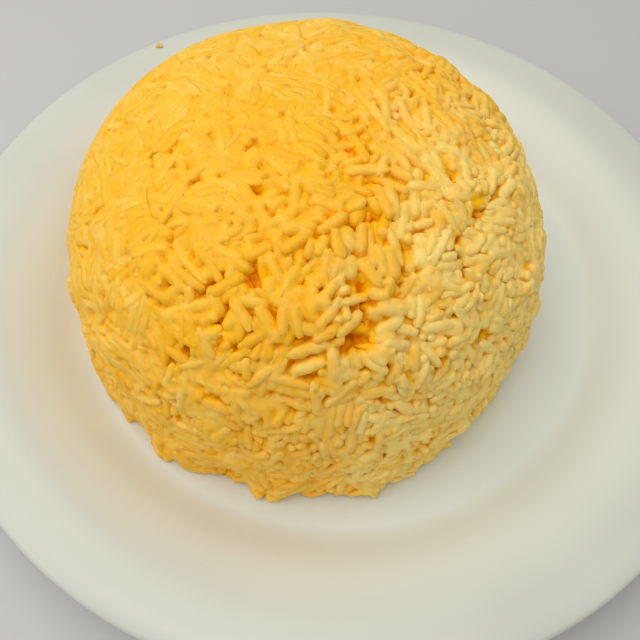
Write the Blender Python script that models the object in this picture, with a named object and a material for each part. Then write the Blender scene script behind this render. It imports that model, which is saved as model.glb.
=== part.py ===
"""A bowlful of yellow rice, pressed in its bowl and turned out as a dome on a round white plate.

Metres, +Z up. The origin is on the table, under the middle of the plate. The dome sits a little
off the middle of the plate, towards -X and -Y, and its smoothest side looks towards -X and +Y.
"""

import math
import random

import bmesh
import bpy
from mathutils import Vector

# Plate: a coupe shape with a flat floor, a soft wall and a wide rim that rolls over at its edge.
PLATE_RADIUS = 0.130
PLATE_EDGE_HEIGHT = 0.0213
PLATE_THICKNESS = 0.0042
FLOOR_RADIUS = 0.0875
FLOOR_HEIGHT = 0.0065
WALL_RADIUS = 0.1000
WALL_HEIGHT = 0.0150
WALL_SLOPE = 0.82
CREST_RADIUS = 0.1190
CREST_HEIGHT = 0.0238
ROLL_SLOPE = -0.42
FOOT_INNER_RADIUS = 0.0735
FOOT_OUTER_RADIUS = 0.0785
FOOT_FLARE = 0.0022
PLATE_SEGMENTS = 64
WALL_STEPS = 4
ROLL_STEPS = 2
NOSE_ANGLES = (30, 0, -45, -90)
SHARP_ANGLE = 40

# Rice: a superellipse turned round its axis, a little steeper at the side than half a ball.
DOME_CENTRE = Vector((-0.0104, -0.0043, 0.0))
DOME_RADIUS = 0.0740
DOME_HEIGHT = 0.0808
DOME_EXPONENT = 2.87
BASE_FLARE = 0.0010
BASE_FLARE_HEIGHT = 0.0060
RESTING_GAP = 0.0003

# One cooked grain, as a low ridge of three points between hollows.
GRAIN_LENGTH = 0.0086
RIDGE_STEP = 0.33 * GRAIN_LENGTH
RIDGE_SPACING = 0.0036
HOLLOW_SPACING = 0.0018
HOLLOW_TO_RIDGE = 0.00185
RIDGE_HEIGHT = 0.0013
RIDGE_END_DROP = 0.0003
RIDGE_TILT = 0.0004
HOLLOW_DEPTH = 0.0013
GRAIN_SIZES = (0.65, 1.25)
HOLLOW_SIZES = (0.5, 1.5)
GRAIN_COUNT = 760
HOLLOW_COUNT = 2750
BASE_POINTS = 144
BASE_WAVE = 0.0009
BASE_CLEARANCE = 0.0022
TRIES_PER_POINT = 400
RICE_SEED = 27

# Where the heap was pushed in or bulges out: azimuth and elevation in degrees, seen from the
# middle of the dome's base, then the push along the surface's normal and how far it spreads.
LUMPS = (
    (-126, 3, -0.0032, 0.005),
    (-117, 4, 0.0018, 0.008),
    (-102, 3, -0.0032, 0.007),
    (-91, 3, 0.0018, 0.006),
    (-70, 4, 0.0018, 0.008),
    (-43, 4, -0.0028, 0.007),
    (-30, 5, -0.0020, 0.007),
    (5, 22, 0.0010, 0.016),
    (85, 62, 0.0012, 0.010),
    (112, 48, -0.0008, 0.013),
    (150, 12, -0.0010, 0.012),
    (-75, 34, -0.0012, 0.010),
    (-62, 58, -0.0010, 0.009),
    (-25, 40, 0.0009, 0.015),
)

# Relief of the pressed side and of the crumbly side, as a share of the heights above.
PRESSED_RELIEF = 0.75
CRUMBLY_RELIEF = 1.3
CRUMBLY_DIRECTION = Vector((0.75, -0.6, -0.28)).normalized()

PLATE_COLOUR = (0.78, 0.77, 0.70, 1.0)
PLATE_ROUGHNESS = 0.13
RICE_COLOUR = (0.92, 0.50, 0.07, 1.0)
RICE_ROUGHNESS = 0.5


def material(name, colour, roughness):
    """A Principled material in one colour."""
    made = bpy.data.materials.new(name)
    made.use_nodes = True
    made.diffuse_color = colour
    shader = made.node_tree.nodes["Principled BSDF"]
    shader.inputs["Base Color"].default_value = colour
    shader.inputs["Roughness"].default_value = roughness
    shader.inputs["Metallic"].default_value = 0.0
    return made


def finished_object(name, bm, made_of):
    """Turn a bmesh into a named object with its material."""
    mesh = bpy.data.meshes.new(name)
    bm.to_mesh(mesh)
    bm.free()
    mesh.materials.append(made_of)
    made = bpy.data.objects.new(name, mesh)
    bpy.context.scene.collection.objects.link(made)
    return made


# ---- plate ----


def curve(start, start_slope, end, end_slope, steps):
    """Points after the start, up to the end, of a cubic through both with the slopes given."""
    run = end[0] - start[0]
    points = []
    for step in range(1, steps + 1):
        t = step / steps
        from_start = 2 * t ** 3 - 3 * t ** 2 + 1
        lean_start = (t ** 3 - 2 * t ** 2 + t) * run * start_slope
        lean_end = (t ** 3 - t ** 2) * run * end_slope
        height = from_start * start[1] + (1 - from_start) * end[1] + lean_start + lean_end
        points.append((start[0] + run * t, height))
    return points


def plate_profile():
    """Radius and height of the plate's section, from the middle of the floor round to below it."""
    lip = PLATE_THICKNESS / 2
    lip_centre = (PLATE_RADIUS - lip, PLATE_EDGE_HEIGHT)
    roll_start = math.pi / 2 + math.atan(ROLL_SLOPE)
    roll_top = (
        lip_centre[0] + lip * math.cos(roll_start),
        lip_centre[1] + lip * math.sin(roll_start),
    )
    floor_edge = (FLOOR_RADIUS, FLOOR_HEIGHT)
    wall = (WALL_RADIUS, WALL_HEIGHT)
    crest = (CREST_RADIUS, CREST_HEIGHT)
    top = [floor_edge]
    top += curve(floor_edge, 0.0, wall, WALL_SLOPE, WALL_STEPS)
    top += curve(wall, WALL_SLOPE, crest, 0.0, WALL_STEPS)
    top += curve(crest, 0.0, roll_top, ROLL_SLOPE, ROLL_STEPS)
    nose = []
    for turn in NOSE_ANGLES:
        angle = math.radians(turn)
        nose.append((lip_centre[0] + lip * math.cos(angle), lip_centre[1] + lip * math.sin(angle)))
    every_second = top[2:-1:2]
    underside = [(radius, height - PLATE_THICKNESS) for radius, height in reversed(every_second)]
    recess = FLOOR_HEIGHT - PLATE_THICKNESS
    foot = [
        (FOOT_OUTER_RADIUS + FOOT_FLARE, recess),
        (FOOT_OUTER_RADIUS, 0.0),
        (FOOT_INNER_RADIUS, 0.0),
        (FOOT_INNER_RADIUS - FOOT_FLARE, recess),
    ]
    return [(0.0, FLOOR_HEIGHT)] + top + nose + underside + foot + [(0.0, recess)]


def build_plate():
    """The plate, its section spun round the axis."""
    bm = bmesh.new()
    corners = [bm.verts.new((radius, 0.0, height)) for radius, height in plate_profile()]
    edges = [bm.edges.new(pair) for pair in zip(corners, corners[1:])]
    bmesh.ops.spin(
        bm,
        geom=corners + edges,
        cent=(0, 0, 0),
        axis=(0, 0, 1),
        angle=2 * math.pi,
        steps=PLATE_SEGMENTS,
        use_merge=True,
    )
    bmesh.ops.remove_doubles(bm, verts=bm.verts[:], dist=0.00001)
    bmesh.ops.recalc_face_normals(bm, faces=bm.faces[:])
    plate = finished_object("plate", bm, material("white_glaze", PLATE_COLOUR, PLATE_ROUGHNESS))
    plate.data.shade_smooth()
    plate.data.set_sharp_from_angle(angle=math.radians(SHARP_ANGLE))
    return plate


# ---- rice ----


def direction_of(azimuth, elevation):
    """Unit direction from the middle of the dome's base, angles in degrees."""
    turn = math.radians(azimuth)
    rise = math.radians(elevation)
    return Vector((math.cos(turn) * math.cos(rise), math.sin(turn) * math.cos(rise), math.sin(rise)))


def dome_point(direction):
    """Where a ray from the middle of the dome's base meets the smooth pressed surface."""
    level = math.hypot(direction.x, direction.y) / DOME_RADIUS
    rise = max(direction.z, 0.0) / DOME_HEIGHT
    reach = (level ** DOME_EXPONENT + rise ** DOME_EXPONENT) ** (-1 / DOME_EXPONENT)
    return Vector((direction.x, direction.y, max(direction.z, 0.0))) * reach


def dome_normal(point):
    """Outward direction of the smooth surface at a point on it."""
    level = math.hypot(point.x, point.y)
    outward = level ** (DOME_EXPONENT - 2) / DOME_RADIUS ** DOME_EXPONENT
    upward = point.z ** (DOME_EXPONENT - 1) / DOME_HEIGHT ** DOME_EXPONENT
    return Vector((point.x * outward, point.y * outward, upward)).normalized()


def lump_push(point):
    """How far the heap stands proud of the smooth dome here, without its grains."""
    push = BASE_FLARE * math.exp(-point.z / BASE_FLARE_HEIGHT)
    for azimuth, elevation, height, spread in LUMPS:
        away = (point - dome_point(direction_of(azimuth, elevation))).length / spread
        push += height * math.exp(-away * away)
    return push


def relief_here(point):
    """Share of the full relief: low on the pressed side, high on the crumbly side."""
    side = 0.5 + 0.5 * point.normalized().dot(CRUMBLY_DIRECTION)
    return PRESSED_RELIEF + (CRUMBLY_RELIEF - PRESSED_RELIEF) * side


class Spread:
    """Points kept apart from each other, in cells as wide as the largest distance asked for."""

    def __init__(self, widest):
        self.widest = widest
        self.cells = {}

    def cell(self, point):
        return tuple(math.floor(value / self.widest) for value in point)

    def add(self, point):
        self.cells.setdefault(self.cell(point), []).append(point)

    def clear_of(self, point, distance):
        """Whether no point stands within the distance."""
        middle = self.cell(point)
        for x in (-1, 0, 1):
            for y in (-1, 0, 1):
                for z in (-1, 0, 1):
                    near = self.cells.get((middle[0] + x, middle[1] + y, middle[2] + z), ())
                    if any((point - other).length < distance for other in near):
                        return False
        return True


def random_direction(draw):
    """A direction drawn evenly over the upper half of a ball."""
    rise = draw.random()
    turn = draw.uniform(0, 2 * math.pi)
    level = math.sqrt(1 - rise * rise)
    return Vector((level * math.cos(turn), level * math.sin(turn), rise))


def ridge_points(draw):
    """Three points in line on the smooth dome, for a grain lying in a direction drawn at random."""
    middle = dome_point(random_direction(draw))
    normal = dome_normal(middle)
    along = normal.orthogonal().normalized()
    across = normal.cross(along)
    turn = draw.uniform(0, math.pi)
    heading = along * math.cos(turn) + across * math.sin(turn)
    return [dome_point((middle + heading * (step * RIDGE_STEP)).normalized()) for step in (-1, 0, 1)]


def base_ring(draw):
    """Points of the dome's edge on the plate, which wanders in and out by half a grain."""
    ring = []
    for index in range(BASE_POINTS):
        turn = 2 * math.pi * index / BASE_POINTS
        point = Vector((math.cos(turn), math.sin(turn), 0.0)) * DOME_RADIUS
        ring.append((point, draw.uniform(-BASE_WAVE, BASE_WAVE)))
    return ring


def grain_ridges(draw, ridges):
    """Grains laid one by one where there is room, each as points with their heights."""
    raised = []
    grains = 0
    for _ in range(GRAIN_COUNT * TRIES_PER_POINT):
        if grains == GRAIN_COUNT:
            break
        points = ridge_points(draw)
        tilt = draw.uniform(-RIDGE_TILT, RIDGE_TILT)
        size = draw.uniform(*GRAIN_SIZES)
        if any(point.z < BASE_CLEARANCE for point in points):
            continue
        if not all(ridges.clear_of(point, RIDGE_SPACING) for point in points):
            continue
        for point, end in zip(points, (-1, 0, 1)):
            height = RIDGE_HEIGHT * size - RIDGE_END_DROP * abs(end) + tilt * end
            ridges.add(point)
            raised.append((point, height * relief_here(point)))
        grains += 1
    return raised


def grain_hollows(draw, ridges):
    """Low points that fill the room between the grains."""
    hollows = Spread(HOLLOW_SPACING)
    lowered = []
    for _ in range(HOLLOW_COUNT * TRIES_PER_POINT):
        if len(lowered) == HOLLOW_COUNT:
            break
        point = dome_point(random_direction(draw))
        depth = HOLLOW_DEPTH * draw.uniform(*HOLLOW_SIZES)
        if point.z < BASE_CLEARANCE:
            continue
        if ridges.clear_of(point, HOLLOW_TO_RIDGE) and hollows.clear_of(point, HOLLOW_SPACING):
            hollows.add(point)
            lowered.append((point, -depth * relief_here(point)))
    return lowered


def build_rice():
    """The dome as one closed skin. Its points are joined up on a ball, where each has a clear view of
    its neighbours, and then take their places on the heap."""
    draw = random.Random(RICE_SEED)
    ridges = Spread(RIDGE_SPACING)
    points = base_ring(draw)
    points += grain_ridges(draw, ridges)
    points += grain_hollows(draw, ridges)
    bm = bmesh.new()
    placed = []
    for point, height in points:
        place = point + dome_normal(point) * (height + lump_push(point))
        placed.append((bm.verts.new(point.normalized()), place))
    placed.append((bm.verts.new((0, 0, -1)), Vector((0, 0, 0))))
    bmesh.ops.convex_hull(bm, input=bm.verts[:])
    bmesh.ops.triangulate(bm, faces=bm.faces[:])
    seat = DOME_CENTRE + Vector((0, 0, FLOOR_HEIGHT + RESTING_GAP))
    for vertex, place in placed:
        vertex.co = place + seat
    bmesh.ops.recalc_face_normals(bm, faces=bm.faces[:])
    return finished_object("rice", bm, material("yellow_rice", RICE_COLOUR, RICE_ROUGHNESS))


def main():
    for old in list(bpy.data.objects):
        bpy.data.objects.remove(old, do_unlink=True)
    build_plate()
    build_rice()


if __name__ == "__main__":
    main()
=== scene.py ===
"""Yellow rice, pressed in a bowl and turned out on a white plate: its looks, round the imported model.

Metres, +Z up, origin on the table under the middle of the plate. The rice is laid as it lay in its
bowl: grains are poured into a shell just inside the bowl's wall, pushed apart until they nestle,
and flattened where they press on the wall. Their shell lies on a core of finer, deeper rice.
"""

import math

import bpy
import numpy as np
from bpy.props import FloatProperty, FloatVectorProperty, IntProperty, PointerProperty
from mathutils import Matrix, Vector


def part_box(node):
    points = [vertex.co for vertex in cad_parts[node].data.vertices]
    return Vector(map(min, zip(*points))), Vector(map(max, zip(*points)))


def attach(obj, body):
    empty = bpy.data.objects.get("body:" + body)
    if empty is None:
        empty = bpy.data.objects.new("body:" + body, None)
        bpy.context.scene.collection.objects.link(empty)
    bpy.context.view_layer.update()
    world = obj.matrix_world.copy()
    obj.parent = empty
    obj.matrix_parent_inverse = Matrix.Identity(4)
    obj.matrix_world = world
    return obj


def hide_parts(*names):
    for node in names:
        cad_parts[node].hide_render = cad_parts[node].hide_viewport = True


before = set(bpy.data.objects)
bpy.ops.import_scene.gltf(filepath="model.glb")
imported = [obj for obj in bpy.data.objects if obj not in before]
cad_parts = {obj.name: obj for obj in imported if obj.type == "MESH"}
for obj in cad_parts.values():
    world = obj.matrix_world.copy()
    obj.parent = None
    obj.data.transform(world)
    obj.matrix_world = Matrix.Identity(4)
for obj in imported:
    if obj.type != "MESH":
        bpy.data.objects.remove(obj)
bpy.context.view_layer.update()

bl_info = {
    "name": "Yellow rice on a plate",
    "version": (1, 0, 0),
    "blender": (4, 5, 0),
    "location": "3D View > Sidebar > Rice",
    "description": "Builds a moulded dome of yellow rice on its plate, piece by piece",
    "category": "Object",
}

_, PLATE_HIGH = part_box("plate")
RICE_LOW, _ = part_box("rice")
IMAGE_SIDE_PX = 640

# Where the heap was pushed in or bulges out: azimuth and elevation in degrees, seen from the
# middle of the dome's base, then the push along the surface's normal and how far it spreads.
LUMPS = (
    (-126, 3, -0.0032, 0.005),
    (-117, 4, 0.0018, 0.008),
    (-102, 3, -0.0032, 0.007),
    (-91, 3, 0.0018, 0.006),
    (-70, 4, 0.0018, 0.008),
    (-43, 4, -0.0028, 0.007),
    (-30, 5, -0.0020, 0.007),
    (5, 22, 0.0010, 0.016),
    (85, 62, 0.0012, 0.010),
    (112, 48, -0.0008, 0.013),
    (150, 12, -0.0010, 0.012),
    (-75, 34, -0.0012, 0.010),
    (-62, 58, -0.0010, 0.009),
    (-25, 40, 0.0009, 0.015),
    (153, 58, 0.0011, 0.0035),
    (88, 60, 0.0006, 0.0040),
    (44, 57, 0.0012, 0.0040),
    (27, 51, 0.0011, 0.0040),
)
BASE_FLARE = 0.0010
BASE_FLARE_HEIGHT = 0.0060

# Pockets where no grain reached the bowl's wall, as the picture shows them: column and row in
# pixels, then depth and radius.
SEEN_POCKETS = (
    (187, 134, 0.0022, 0.0008),
    (154, 158, 0.0026, 0.0012),
    (199, 99, 0.0020, 0.0007),
    (255, 188, 0.0026, 0.0013),
    (179, 76, 0.0020, 0.0007),
    (195, 181, 0.0022, 0.0008),
    (168, 283, 0.0024, 0.0010),
    (191, 278, 0.0026, 0.0010),
    (200, 294, 0.0022, 0.0012),
    (223, 276, 0.0030, 0.0011),
    (253, 281, 0.0038, 0.0018),
    (253, 264, 0.0032, 0.0011),
    (229, 309, 0.0030, 0.0011),
    (220, 326, 0.0034, 0.0014),
    (252, 316, 0.0028, 0.0011),
    (234, 347, 0.0028, 0.0012),
    (188, 350, 0.0036, 0.0022),
    (172, 360, 0.0032, 0.0014),
    (184, 371, 0.0026, 0.0009),
    (278, 323, 0.0028, 0.0009),
    (275, 308, 0.0024, 0.0008),
    (296, 342, 0.0032, 0.0012),
    (289, 365, 0.0032, 0.0012),
    (310, 378, 0.0036, 0.0015),
    (216, 399, 0.0028, 0.0009),
    (151, 388, 0.0022, 0.0009),
    (218, 347, 0.0022, 0.0008),
    (302, 283, 0.0022, 0.0010),
    (322, 289, 0.0020, 0.0007),
    (270, 395, 0.0022, 0.0010),
    (295, 410, 0.0026, 0.0014),
    (259, 417, 0.0024, 0.0008),
    (326, 399, 0.0026, 0.0012),
    (353, 151, 0.0020, 0.0010),
    (370, 150, 0.0020, 0.0007),
    (425, 173, 0.0022, 0.0008),
    (371, 215, 0.0036, 0.0014),
    (377, 228, 0.0026, 0.0009),
    (444, 203, 0.0026, 0.0014),
    (447, 222, 0.0028, 0.0011),
    (478, 215, 0.0036, 0.0015),
    (482, 255, 0.0026, 0.0012),
    (513, 278, 0.0024, 0.0014),
    (446, 293, 0.0032, 0.0012),
    (456, 313, 0.0030, 0.0013),
    (486, 331, 0.0028, 0.0012),
    (474, 343, 0.0030, 0.0011),
    (436, 367, 0.0034, 0.0014),
    (447, 339, 0.0026, 0.0012),
    (352, 341, 0.0040, 0.0021),
    (368, 365, 0.0030, 0.0011),
    (388, 370, 0.0030, 0.0013),
    (386, 402, 0.0028, 0.0014),
    (399, 412, 0.0026, 0.0012),
    (371, 442, 0.0030, 0.0014),
    (428, 442, 0.0030, 0.0018),
    (345, 428, 0.0026, 0.0010),
)

# Cracks that the picture shows: columns and rows along each.
SEEN_CRACKS = (
    ((362, 283), (364, 300), (367, 315), (358, 332), (363, 350)),
    ((479, 214), (489, 203), (499, 190)),
    ((459, 232), (449, 250), (457, 262), (464, 276)),
    ((404, 243), (406, 258), (406, 272)),
    ((361, 166), (368, 178)),
    ((441, 160), (449, 172), (458, 184)),
    ((253, 264), (257, 281), (260, 294)),
    ((214, 281), (205, 287), (200, 296)),
    ((254, 310), (249, 328), (240, 342)),
    ((268, 312), (278, 323), (287, 327)),
    ((233, 372), (243, 376), (252, 374)),
    ((206, 393), (216, 399), (232, 406)),
)
# A crack is a row of small pockets this deep and wide, this far apart.
CRACK_DEPTH = 0.0024
CRACK_WIDTH = 0.0006
CRACK_STEP = 0.0009

# A ball this far under the wall keeps a pocket open. The deepest pocket's ball has the pocket's own
# radius, and a shallower one's is smaller, down to the square of the share.
PEG_DEPTH = 0.0006
PEG_SHARE = 0.76
DEEPEST_POCKET = 0.0038

# Specks on the smooth side: how many, how deep and how wide.
SPECKS = 140
SPECK_DEPTHS = (0.0014, 0.0030)
SPECK_RADII = (0.0004, 0.0008)

# Colour that has run from a pocket into the rice round it: how far, against the pocket's radius, how
# strong, the pocket's depth that makes it so strong, and how much stronger deeper ones may be.
STAIN_REACH = 2.6
STAIN_STRENGTH = 0.26
STAIN_FULL_DEPTH = 0.003
STAIN_MOST = 1.3

# Pockets and stains fade out within this many of their radii.
POCKET_CUTOFF = 3
STAIN_CUTOFF = 2.5

# Pockets on the sides that the picture doesn't show: azimuth, elevation, depth and radius.
FAR_POCKETS = (
    (120, 60, 0.0024, 0.0012),
    (60, 50, 0.0028, 0.0014),
    (95, 35, 0.0026, 0.0013),
    (20, 45, 0.0028, 0.0014),
    (35, 22, 0.0026, 0.0012),
    (150, 30, 0.0022, 0.0011),
    (-160, 25, 0.0022, 0.0011),
    (48, 33, 0.0032, 0.0016),
    (8, 30, 0.0030, 0.0013),
    (75, 18, 0.0026, 0.0013),
    (112, 16, 0.0024, 0.0012),
    (68, 64, 0.0026, 0.0011),
)

# Grains that stand out in the picture: column and row of one end, of the other end, and the width.
SEEN_GRAINS = (
    (161, 303, 187, 281, 0.0036),
    (152, 319, 212, 302, 0.0038),
    (209, 286, 221, 316, 0.0037),
    (193, 340, 224, 329, 0.0034),
    (226, 331, 241, 304, 0.0038),
    (256, 304, 281, 343, 0.0038),
    (286, 322, 320, 333, 0.0036),
    (286, 357, 330, 343, 0.0037),
    (290, 374, 327, 361, 0.0036),
    (229, 367, 259, 366, 0.0046),
    (180, 386, 205, 346, 0.0037),
    (188, 413, 236, 408, 0.0038),
    (140, 350, 152, 385, 0.0034),
    (268, 276, 272, 300, 0.0040),
    (392, 127, 421, 154, 0.0038),
    (421, 154, 453, 190, 0.0042),
    (528, 227, 526, 286, 0.0038),
    (345, 224, 349, 252, 0.0050),
    (349, 254, 352, 279, 0.0046),
    (420, 232, 424, 268, 0.0050),
    (461, 241, 480, 250, 0.0044),
    (446, 262, 452, 288, 0.0040),
    (472, 272, 486, 264, 0.0034),
    (376, 336, 405, 317, 0.0038),
    (378, 306, 409, 310, 0.0046),
    (417, 309, 442, 309, 0.0034),
    (421, 329, 462, 322, 0.0036),
    (458, 346, 461, 374, 0.0036),
    (480, 344, 501, 354, 0.0032),
    (399, 371, 404, 394, 0.0032),
    (368, 419, 402, 424, 0.0036),
    (343, 358, 347, 383, 0.0042),
)

# Where the rice is loose it breaks into clumps this far apart, each a little higher or lower and
# tilted, with creases this deep and wide between them.
CLUMP_SPACING = 0.0080
CLUMP_TRIES = 4000
CLUMP_SPREAD = 0.75
CLUMP_STEP = 0.0004
CLUMP_TILT = 0.05
CLUMP_EDGE = 0.0015
CREASE_DEPTH = 0.0010
CREASE_WIDTH = 0.0009

# The heap's surface against the smooth wall: how far outside it lies, and how wavy it is.
WALL_OFFSET = 0.0009
WAVINESS = 0.00045
WAVE_LENGTH = 0.013

# What changes over the heap: the value where the rice is neither firm nor loose, then what the firm
# side and the loose side add. Lengths in metres, the tilt in radians.
STICKINESS = (0.00021, 0.00002, 0.00002)
SKIN_INSET = (0.00019, -0.00011, 0.00006)
CORE_DEPTH = (0.0024, -0.0010, 0.0004)
BULGE = (0.00030, -0.00018, 0.00002)
GIVE = (0.00032, 0.00036, 0.00012)
SQUEEZE = (0.86, -0.10, 0.0)
POUR_TILT = (0.12, 0.0, 0.22)
POUR_DEPTH = (0.0034, 0.0, 0.0012)

# The materials read depth under the skin as 0 at the skin and 1 this deep, and down to the lowest
# value above the skin.
DEPTH_SCALE = 0.003
LOWEST_DEPTH = -0.3

SEED = 27


# ---- settings ----


def length(name, description, default):
    """A size in metres that a user may change."""
    return number(name, description, default, unit="LENGTH", precision=5)


def number(name, description, default, **units):
    """A number that a user may change."""
    return FloatProperty(name=name, description=description, default=default, **units)


def colour(name, description, default):
    """A colour that a user may change."""
    return FloatVectorProperty(
        name=name, description=description, default=default, subtype="COLOR", size=3, min=0, max=1
    )


class RiceDishPlate(bpy.types.PropertyGroup):
    """Sizes and glaze of the plate."""

    radius: length("Radius", "Middle of the plate to its edge", PLATE_HIGH.x)
    edge_height: length("Edge height", "Height of the middle of the rolled edge", 0.0213)
    thickness: length("Thickness", "Thickness of the wall and the floor", 0.0042)
    floor_radius: length("Floor radius", "Radius of the flat floor", 0.0875)
    floor_height: length("Floor height", "Height of the floor that carries the rice", 0.0065)
    wall_radius: length("Wall radius", "Radius where the wall is steepest", 0.1000)
    wall_height: length("Wall height", "Height where the wall is steepest", 0.0150)
    wall_slope: number("Wall slope", "Rise over run of the wall", 0.82)
    crest_radius: length("Crest radius", "Radius of the highest ring of the rim", 0.1190)
    crest_height: length("Crest height", "Height of the highest ring of the rim", 0.0238)
    roll_slope: number("Roll slope", "Slope where the edge rolls over", -0.42)
    foot_inner: length("Foot inner radius", "Inner radius of the foot ring", 0.0735)
    foot_outer: length("Foot outer radius", "Outer radius of the foot ring", 0.0785)
    segments: IntProperty(name="Segments", description="Faces round the plate", default=192)
    glaze: colour("Glaze", "Colour of the glaze on the rim", (0.615, 0.632, 0.545))
    # the well's colour is lighter and cooler than the rim's: painted light that cancels the shade and the
    # rice's yellow bounce light
    well_glaze_painted_light: colour("Well glaze with painted light", "Colour of the glaze in the well, lighter and cooler as painted light", (0.735, 0.770, 0.690))
    bisque: colour("Bisque", "Colour of the unglazed foot", (0.70, 0.66, 0.58))


class RiceDishRice(bpy.types.PropertyGroup):
    """Sizes and colours of the rice."""

    centre: FloatVectorProperty(
        name="Centre",
        description="Middle of the dome's base on the plate's floor",
        default=(-0.0104, -0.0043, RICE_LOW.z),
        subtype="TRANSLATION",
        unit="LENGTH",
    )
    radius: length("Radius", "Radius of the bowl's wall at the plate", 0.0740)
    height: length("Height", "Height of the pressed dome", 0.0808)
    roundness: number("Roundness", "Superellipse exponent", 2.87)
    grain_length: length("Grain length", "Length of a whole cooked grain", 0.0097)
    grain_width: length("Grain width", "Width of a whole cooked grain", 0.0031)
    grains: IntProperty(name="Grains", description="Grains poured into the shell", default=5000)
    golden: colour("Golden", "Colour of the well coloured grains", (0.97, 0.468, 0.010))
    straw: colour("Straw", "Colour of the paler grains", (0.950, 0.68, 0.215))
    deep: colour("Deep", "Colour between the grains", (0.96, 0.50, 0.006))
    dried: colour("Dried", "Colour of the crumb on the rim", (0.62, 0.55, 0.27))


class RiceDishStage(bpy.types.PropertyGroup):
    """Camera, lights and floor."""

    focal_px: number("Focal length", "In pixels of the picture", 690.0)
    distance: length("Distance", "Camera to the middle of the plate's edge plane", 0.2363)
    elevation: number("Elevation", "Camera's angle above the plate", 0.9418, subtype="ANGLE")
    roll: number("Roll", "Camera's turn about its view", 0.0642, subtype="ANGLE")
    aim_x: length("Aim X", "Where the view's middle meets the edge plane, across", -0.00385)
    aim_y: length("Aim Y", "Where the view's middle meets the edge plane, away", -0.02573)
    key: number("Key light", "Power of the main light", 1.22, unit="POWER")
    fill: number("Fill light", "Power of the light over the front", 1.27, unit="POWER")
    side: number("Side light", "Power of the low light on the left", 0.36, unit="POWER")
    sky: number("Sky", "Strength of the light from all round", 0.55)
    floor: colour("Floor", "Colour of the floor", (0.56, 0.545, 0.52))


# ---- modelling helpers ----


def deselect_all():
    """Leave edit mode and deselect every object."""
    if bpy.context.mode != "OBJECT":
        bpy.ops.object.mode_set(mode="OBJECT")
    bpy.ops.object.select_all(action="DESELECT")


def select_points(piece, wanted):
    """Select the points that a rule on their place asks for. Starts and ends in edit mode."""
    edit_all("DESELECT")
    bpy.ops.object.mode_set(mode="OBJECT")
    for vertex in piece.data.vertices:
        vertex.select = wanted(vertex.co)
    bpy.ops.object.mode_set(mode="EDIT")


def edit_all(action="SELECT"):
    """Go into edit mode with all of the active piece selected, or nothing."""
    bpy.ops.object.mode_set(mode="EDIT")
    bpy.ops.mesh.select_all(action=action)


def read(items, name, width=1, kind=float):
    """What the items of a mesh hold under a name: a row for each, or one number."""
    flat = np.empty(len(items) * width, kind)
    items.foreach_get(name, flat)
    return flat.reshape(-1, width) if width > 1 else flat


def points_of(mesh):
    """The mesh's points as rows."""
    return read(mesh.vertices, "co", 3)


def give_values(mesh, name, values):
    """Store one number for each point under a name that a material reads."""
    mesh.attributes.new(name, "FLOAT", "POINT").data.foreach_set("value", values.astype(np.float32))


def mesh_of(name, points, corners, starts):
    """A mesh from its points, its faces' corners in a row, and where in the row each face starts."""
    mesh = bpy.data.meshes.new(name)
    mesh.vertices.add(len(points))
    mesh.loops.add(len(corners))
    mesh.polygons.add(len(starts))
    mesh.vertices.foreach_set("co", points.ravel())
    mesh.loops.foreach_set("vertex_index", corners.astype(np.int32))
    mesh.polygons.foreach_set("loop_start", starts.astype(np.int32))
    mesh.update(calc_edges=True)
    return mesh


def object_of(name, data):
    """A mesh, a light or a camera as an object of the scene."""
    new = bpy.data.objects.new(name, data)
    bpy.context.scene.collection.objects.link(new)
    return new


def finish_piece(piece, material, node):
    """Material, body, and what the piece stands for."""
    piece.data.materials.clear()
    piece.data.materials.append(material)
    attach(piece, "root")
    if node:
        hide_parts(node)


# ---- shader helpers ----


def new_material(name):
    """A material with its Principled shader, and the node tree to build on."""
    material = bpy.data.materials.new(name)
    material.use_nodes = True
    return material, material.node_tree, material.node_tree.nodes["Principled BSDF"]


def add_node(tree, kind, values=None, **settings):
    """A node with its settings, and its inputs set by name or number."""
    node = tree.nodes.new(kind)
    for name, value in settings.items():
        setattr(node, name, value)
    for socket, value in (values or {}).items():
        node.inputs[socket].default_value = value
    return node


def noise(tree, coordinates, scale, detail=2.0, roughness=0.5):
    """A noise pattern on the piece's own coordinates."""
    node = add_node(tree, "ShaderNodeTexNoise", {"Scale": scale, "Detail": detail, "Roughness": roughness})
    tree.links.new(coordinates, node.inputs["Vector"])
    return node.outputs["Fac"]


def remap(tree, value, low, high, to_low=0.0, to_high=1.0):
    """The value stretched smoothly from one range to another."""
    node = add_node(
        tree,
        "ShaderNodeMapRange",
        {"From Min": low, "From Max": high, "To Min": to_low, "To Max": to_high},
        interpolation_type="SMOOTHSTEP",
    )
    tree.links.new(value, node.inputs["Value"])
    return node.outputs["Result"]


def math_node(tree, operation, *values):
    """One sum on numbers or sockets."""
    node = add_node(tree, "ShaderNodeMath", operation=operation)
    for socket, value in zip(node.inputs, values):
        if isinstance(value, bpy.types.NodeSocket):
            tree.links.new(value, socket)
        else:
            socket.default_value = value
    return node.outputs["Value"]


def mix_colour(tree, factor, first, second, blend="MIX"):
    """Two colours mixed by a factor."""
    node = add_node(tree, "ShaderNodeMix", data_type="RGBA", blend_type=blend)
    inputs = {socket.identifier: socket for socket in node.inputs}
    wanted = (("Factor_Float", factor), ("A_Color", first), ("B_Color", second))
    for identifier, value in wanted:
        if isinstance(value, bpy.types.NodeSocket):
            tree.links.new(value, inputs[identifier])
        else:
            inputs[identifier].default_value = value
    outputs = {socket.identifier: socket for socket in node.outputs}
    return outputs["Result_Color"]


def add_relief(tree, shader, height, strength, distance):
    """Fine relief on the surface that the shader draws."""
    relief = add_node(tree, "ShaderNodeBump", {"Strength": strength, "Distance": distance})
    tree.links.new(height, relief.inputs["Height"])
    tree.links.new(relief.outputs["Normal"], shader.inputs["Normal"])


def rgba(colour_values):
    """A colour with full opacity."""
    return (*colour_values, 1.0)


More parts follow.
